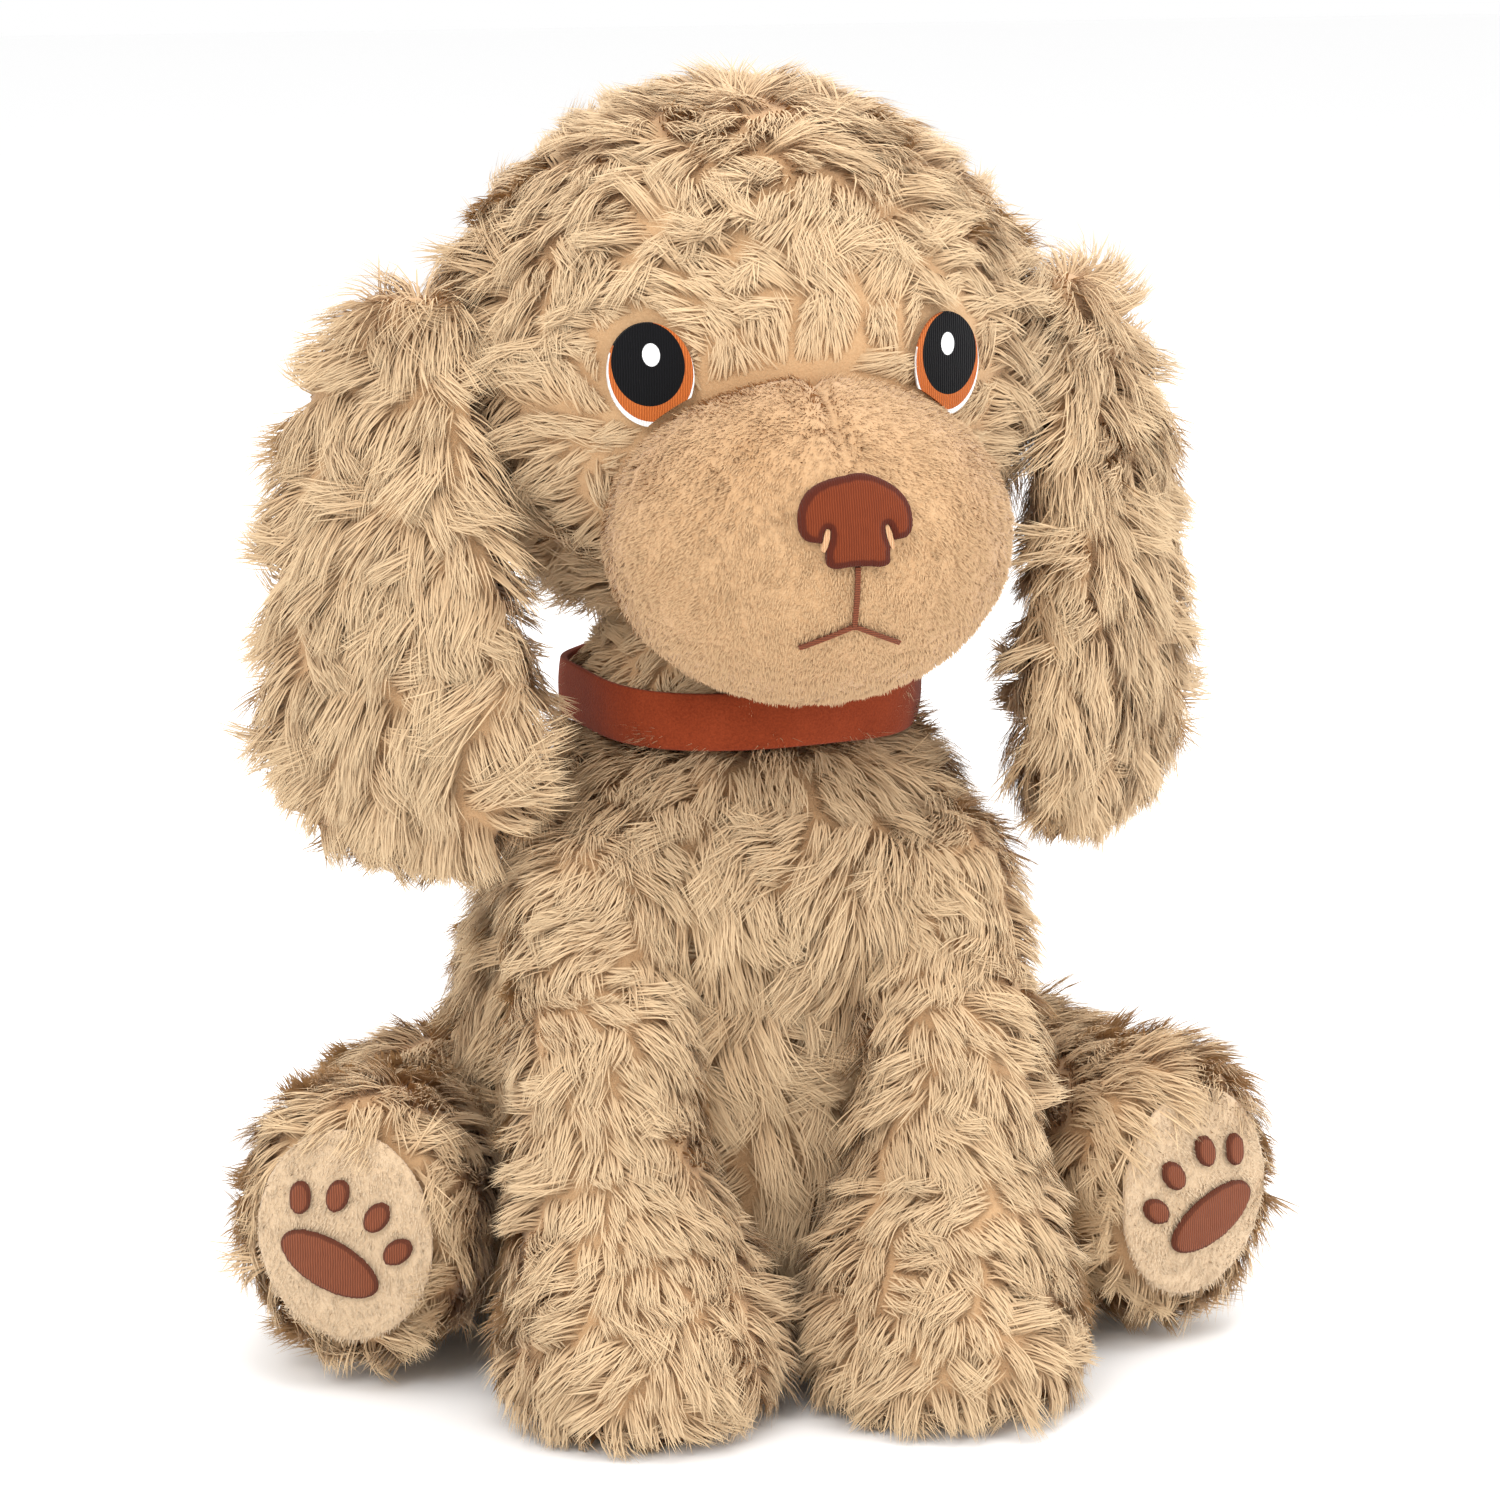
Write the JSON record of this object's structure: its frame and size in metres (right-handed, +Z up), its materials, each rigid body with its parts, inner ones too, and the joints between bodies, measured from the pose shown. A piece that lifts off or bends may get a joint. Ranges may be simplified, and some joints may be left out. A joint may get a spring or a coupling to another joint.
{
  "type": "plush dog",
  "caption": "Seated soft toy dog with long floppy ears, curly plush coat, embroidered face, collar and paw pads on splayed hind feet.",
  "frame": {"origin": "middle of the base, on the surface that the toy sits on", "axes": "+Z up, the dog faces -Y, +X is the dog's left"},
  "size_m": [0.2026, 0.162, 0.246],
  "materials": {
    "long_pile_plush": "soft shaggy pile",
    "short_pile_plush": "smooth short pile",
    "sole_plush": "smooth short pile",
    "collar_velour": "velour",
    "nose_thread": "satin stitch",
    "nostril_thread": "satin stitch",
    "mouth_thread": "satin stitch",
    "white_thread": "satin stitch",
    "iris_thread": "satin stitch",
    "black_thread": "satin stitch",
    "pad_thread": "satin stitch",
    "polyester_fill": "loose fibre",
    "pellet_cloth": "plain weave"
  },
  "bodies": {
    "torso": {"seat_panel": "long_pile_plush", "belly_panel": "long_pile_plush", "back_panel_left": "long_pile_plush", "back_panel_right": "long_pile_plush", "torso_stuffing": "polyester_fill", "seat_pellet_bag": "pellet_cloth"},
    "neck": {"neck_skin": "long_pile_plush", "neck_stuffing": "polyester_fill", "collar": "collar_velour"},
    "head": {"head_gusset": "long_pile_plush", "head_side_left": "long_pile_plush", "head_side_right": "long_pile_plush", "head_stuffing": "polyester_fill", "muzzle_skin": "short_pile_plush", "muzzle_stuffing": "polyester_fill", "nose": "nose_thread", "nostril_stitches": "nostril_thread", "mouth_stitches": "mouth_thread", "eye_rim_left": "white_thread", "eye_rim_right": "white_thread", "eye_iris_left": "iris_thread", "eye_iris_right": "iris_thread", "eye_pupil_left": "black_thread", "eye_pupil_right": "black_thread", "eye_highlight_left": "white_thread", "eye_highlight_right": "white_thread"},
    "ear_left": {"ear_front_left": "long_pile_plush", "ear_lining_left": "long_pile_plush"},
    "front_leg_left": {"front_leg_outer_left": "long_pile_plush", "front_leg_inner_left": "long_pile_plush", "front_leg_stuffing_left": "polyester_fill"},
    "hind_leg_left": {"hind_leg_outer_left": "long_pile_plush", "hind_leg_inner_left": "long_pile_plush", "hind_leg_stuffing_left": "polyester_fill", "hind_sole_left": "sole_plush", "hind_main_pad_left": "pad_thread", "hind_toe_pads_left": "pad_thread"},
    "ear_right": {"ear_front_right": "long_pile_plush", "ear_lining_right": "long_pile_plush"},
    "front_leg_right": {"front_leg_outer_right": "long_pile_plush", "front_leg_inner_right": "long_pile_plush", "front_leg_stuffing_right": "polyester_fill"},
    "hind_leg_right": {"hind_leg_outer_right": "long_pile_plush", "hind_leg_inner_right": "long_pile_plush", "hind_leg_stuffing_right": "polyester_fill", "hind_sole_right": "sole_plush", "hind_main_pad_right": "pad_thread", "hind_toe_pads_right": "pad_thread"},
    "tail": {"tail_skin": "long_pile_plush", "tail_stuffing": "polyester_fill"}
  },
  "joints": [
    {"name": "neck_turn", "type": "hinge", "parent": "torso", "child": "neck", "pos_m": [0, 0.004, 0.134], "axis": [0, 0, 1], "range_deg": [-20, 20], "stiffness_Nm_per_rad": 0.3},
    {"name": "head_nod", "type": "hinge", "parent": "neck", "child": "head", "pos_m": [0, 0.004, 0.134], "axis": [0.9962, 0.0872, 0], "range_deg": [-14, 8], "stiffness_Nm_per_rad": 3},
    {"name": "ear_left_lift", "type": "hinge", "parent": "head", "child": "ear_left", "pos_m": [0.06402, 0.00659, 0.208], "axis": [-0.6157, -0.788, 0], "range_deg": [0, 60]},
    {"name": "ear_right_lift", "type": "hinge", "parent": "head", "child": "ear_right", "pos_m": [-0.06349, -0.00457, 0.208], "axis": [-0.7431, 0.6691, 0], "range_deg": [0, 60]},
    {"name": "front_leg_left_swing", "type": "hinge", "parent": "torso", "child": "front_leg_left", "pos_m": [0.032, -0.021, 0.092], "axis": [-1, 0, 0], "range_deg": [0, 45], "stiffness_Nm_per_rad": 0.5},
    {"name": "front_leg_right_swing", "type": "hinge", "parent": "torso", "child": "front_leg_right", "pos_m": [-0.032, -0.021, 0.092], "axis": [-1, 0, 0], "range_deg": [0, 45], "stiffness_Nm_per_rad": 0.5},
    {"name": "hind_leg_left_lift", "type": "hinge", "parent": "torso", "child": "hind_leg_left", "pos_m": [0.06, 0.018, 0.03], "axis": [-1, 0, 0], "range_deg": [0, 30], "stiffness_Nm_per_rad": 0.5},
    {"name": "hind_leg_right_lift", "type": "hinge", "parent": "torso", "child": "hind_leg_right", "pos_m": [-0.06, 0.018, 0.03], "axis": [-1, 0, 0], "range_deg": [0, 30], "stiffness_Nm_per_rad": 0.5},
    {"name": "tail_lift", "type": "hinge", "parent": "torso", "child": "tail", "pos_m": [0, 0.055, 0.027], "axis": [1, 0, 0], "range_deg": [0, 20], "stiffness_Nm_per_rad": 0.05}
  ]
}
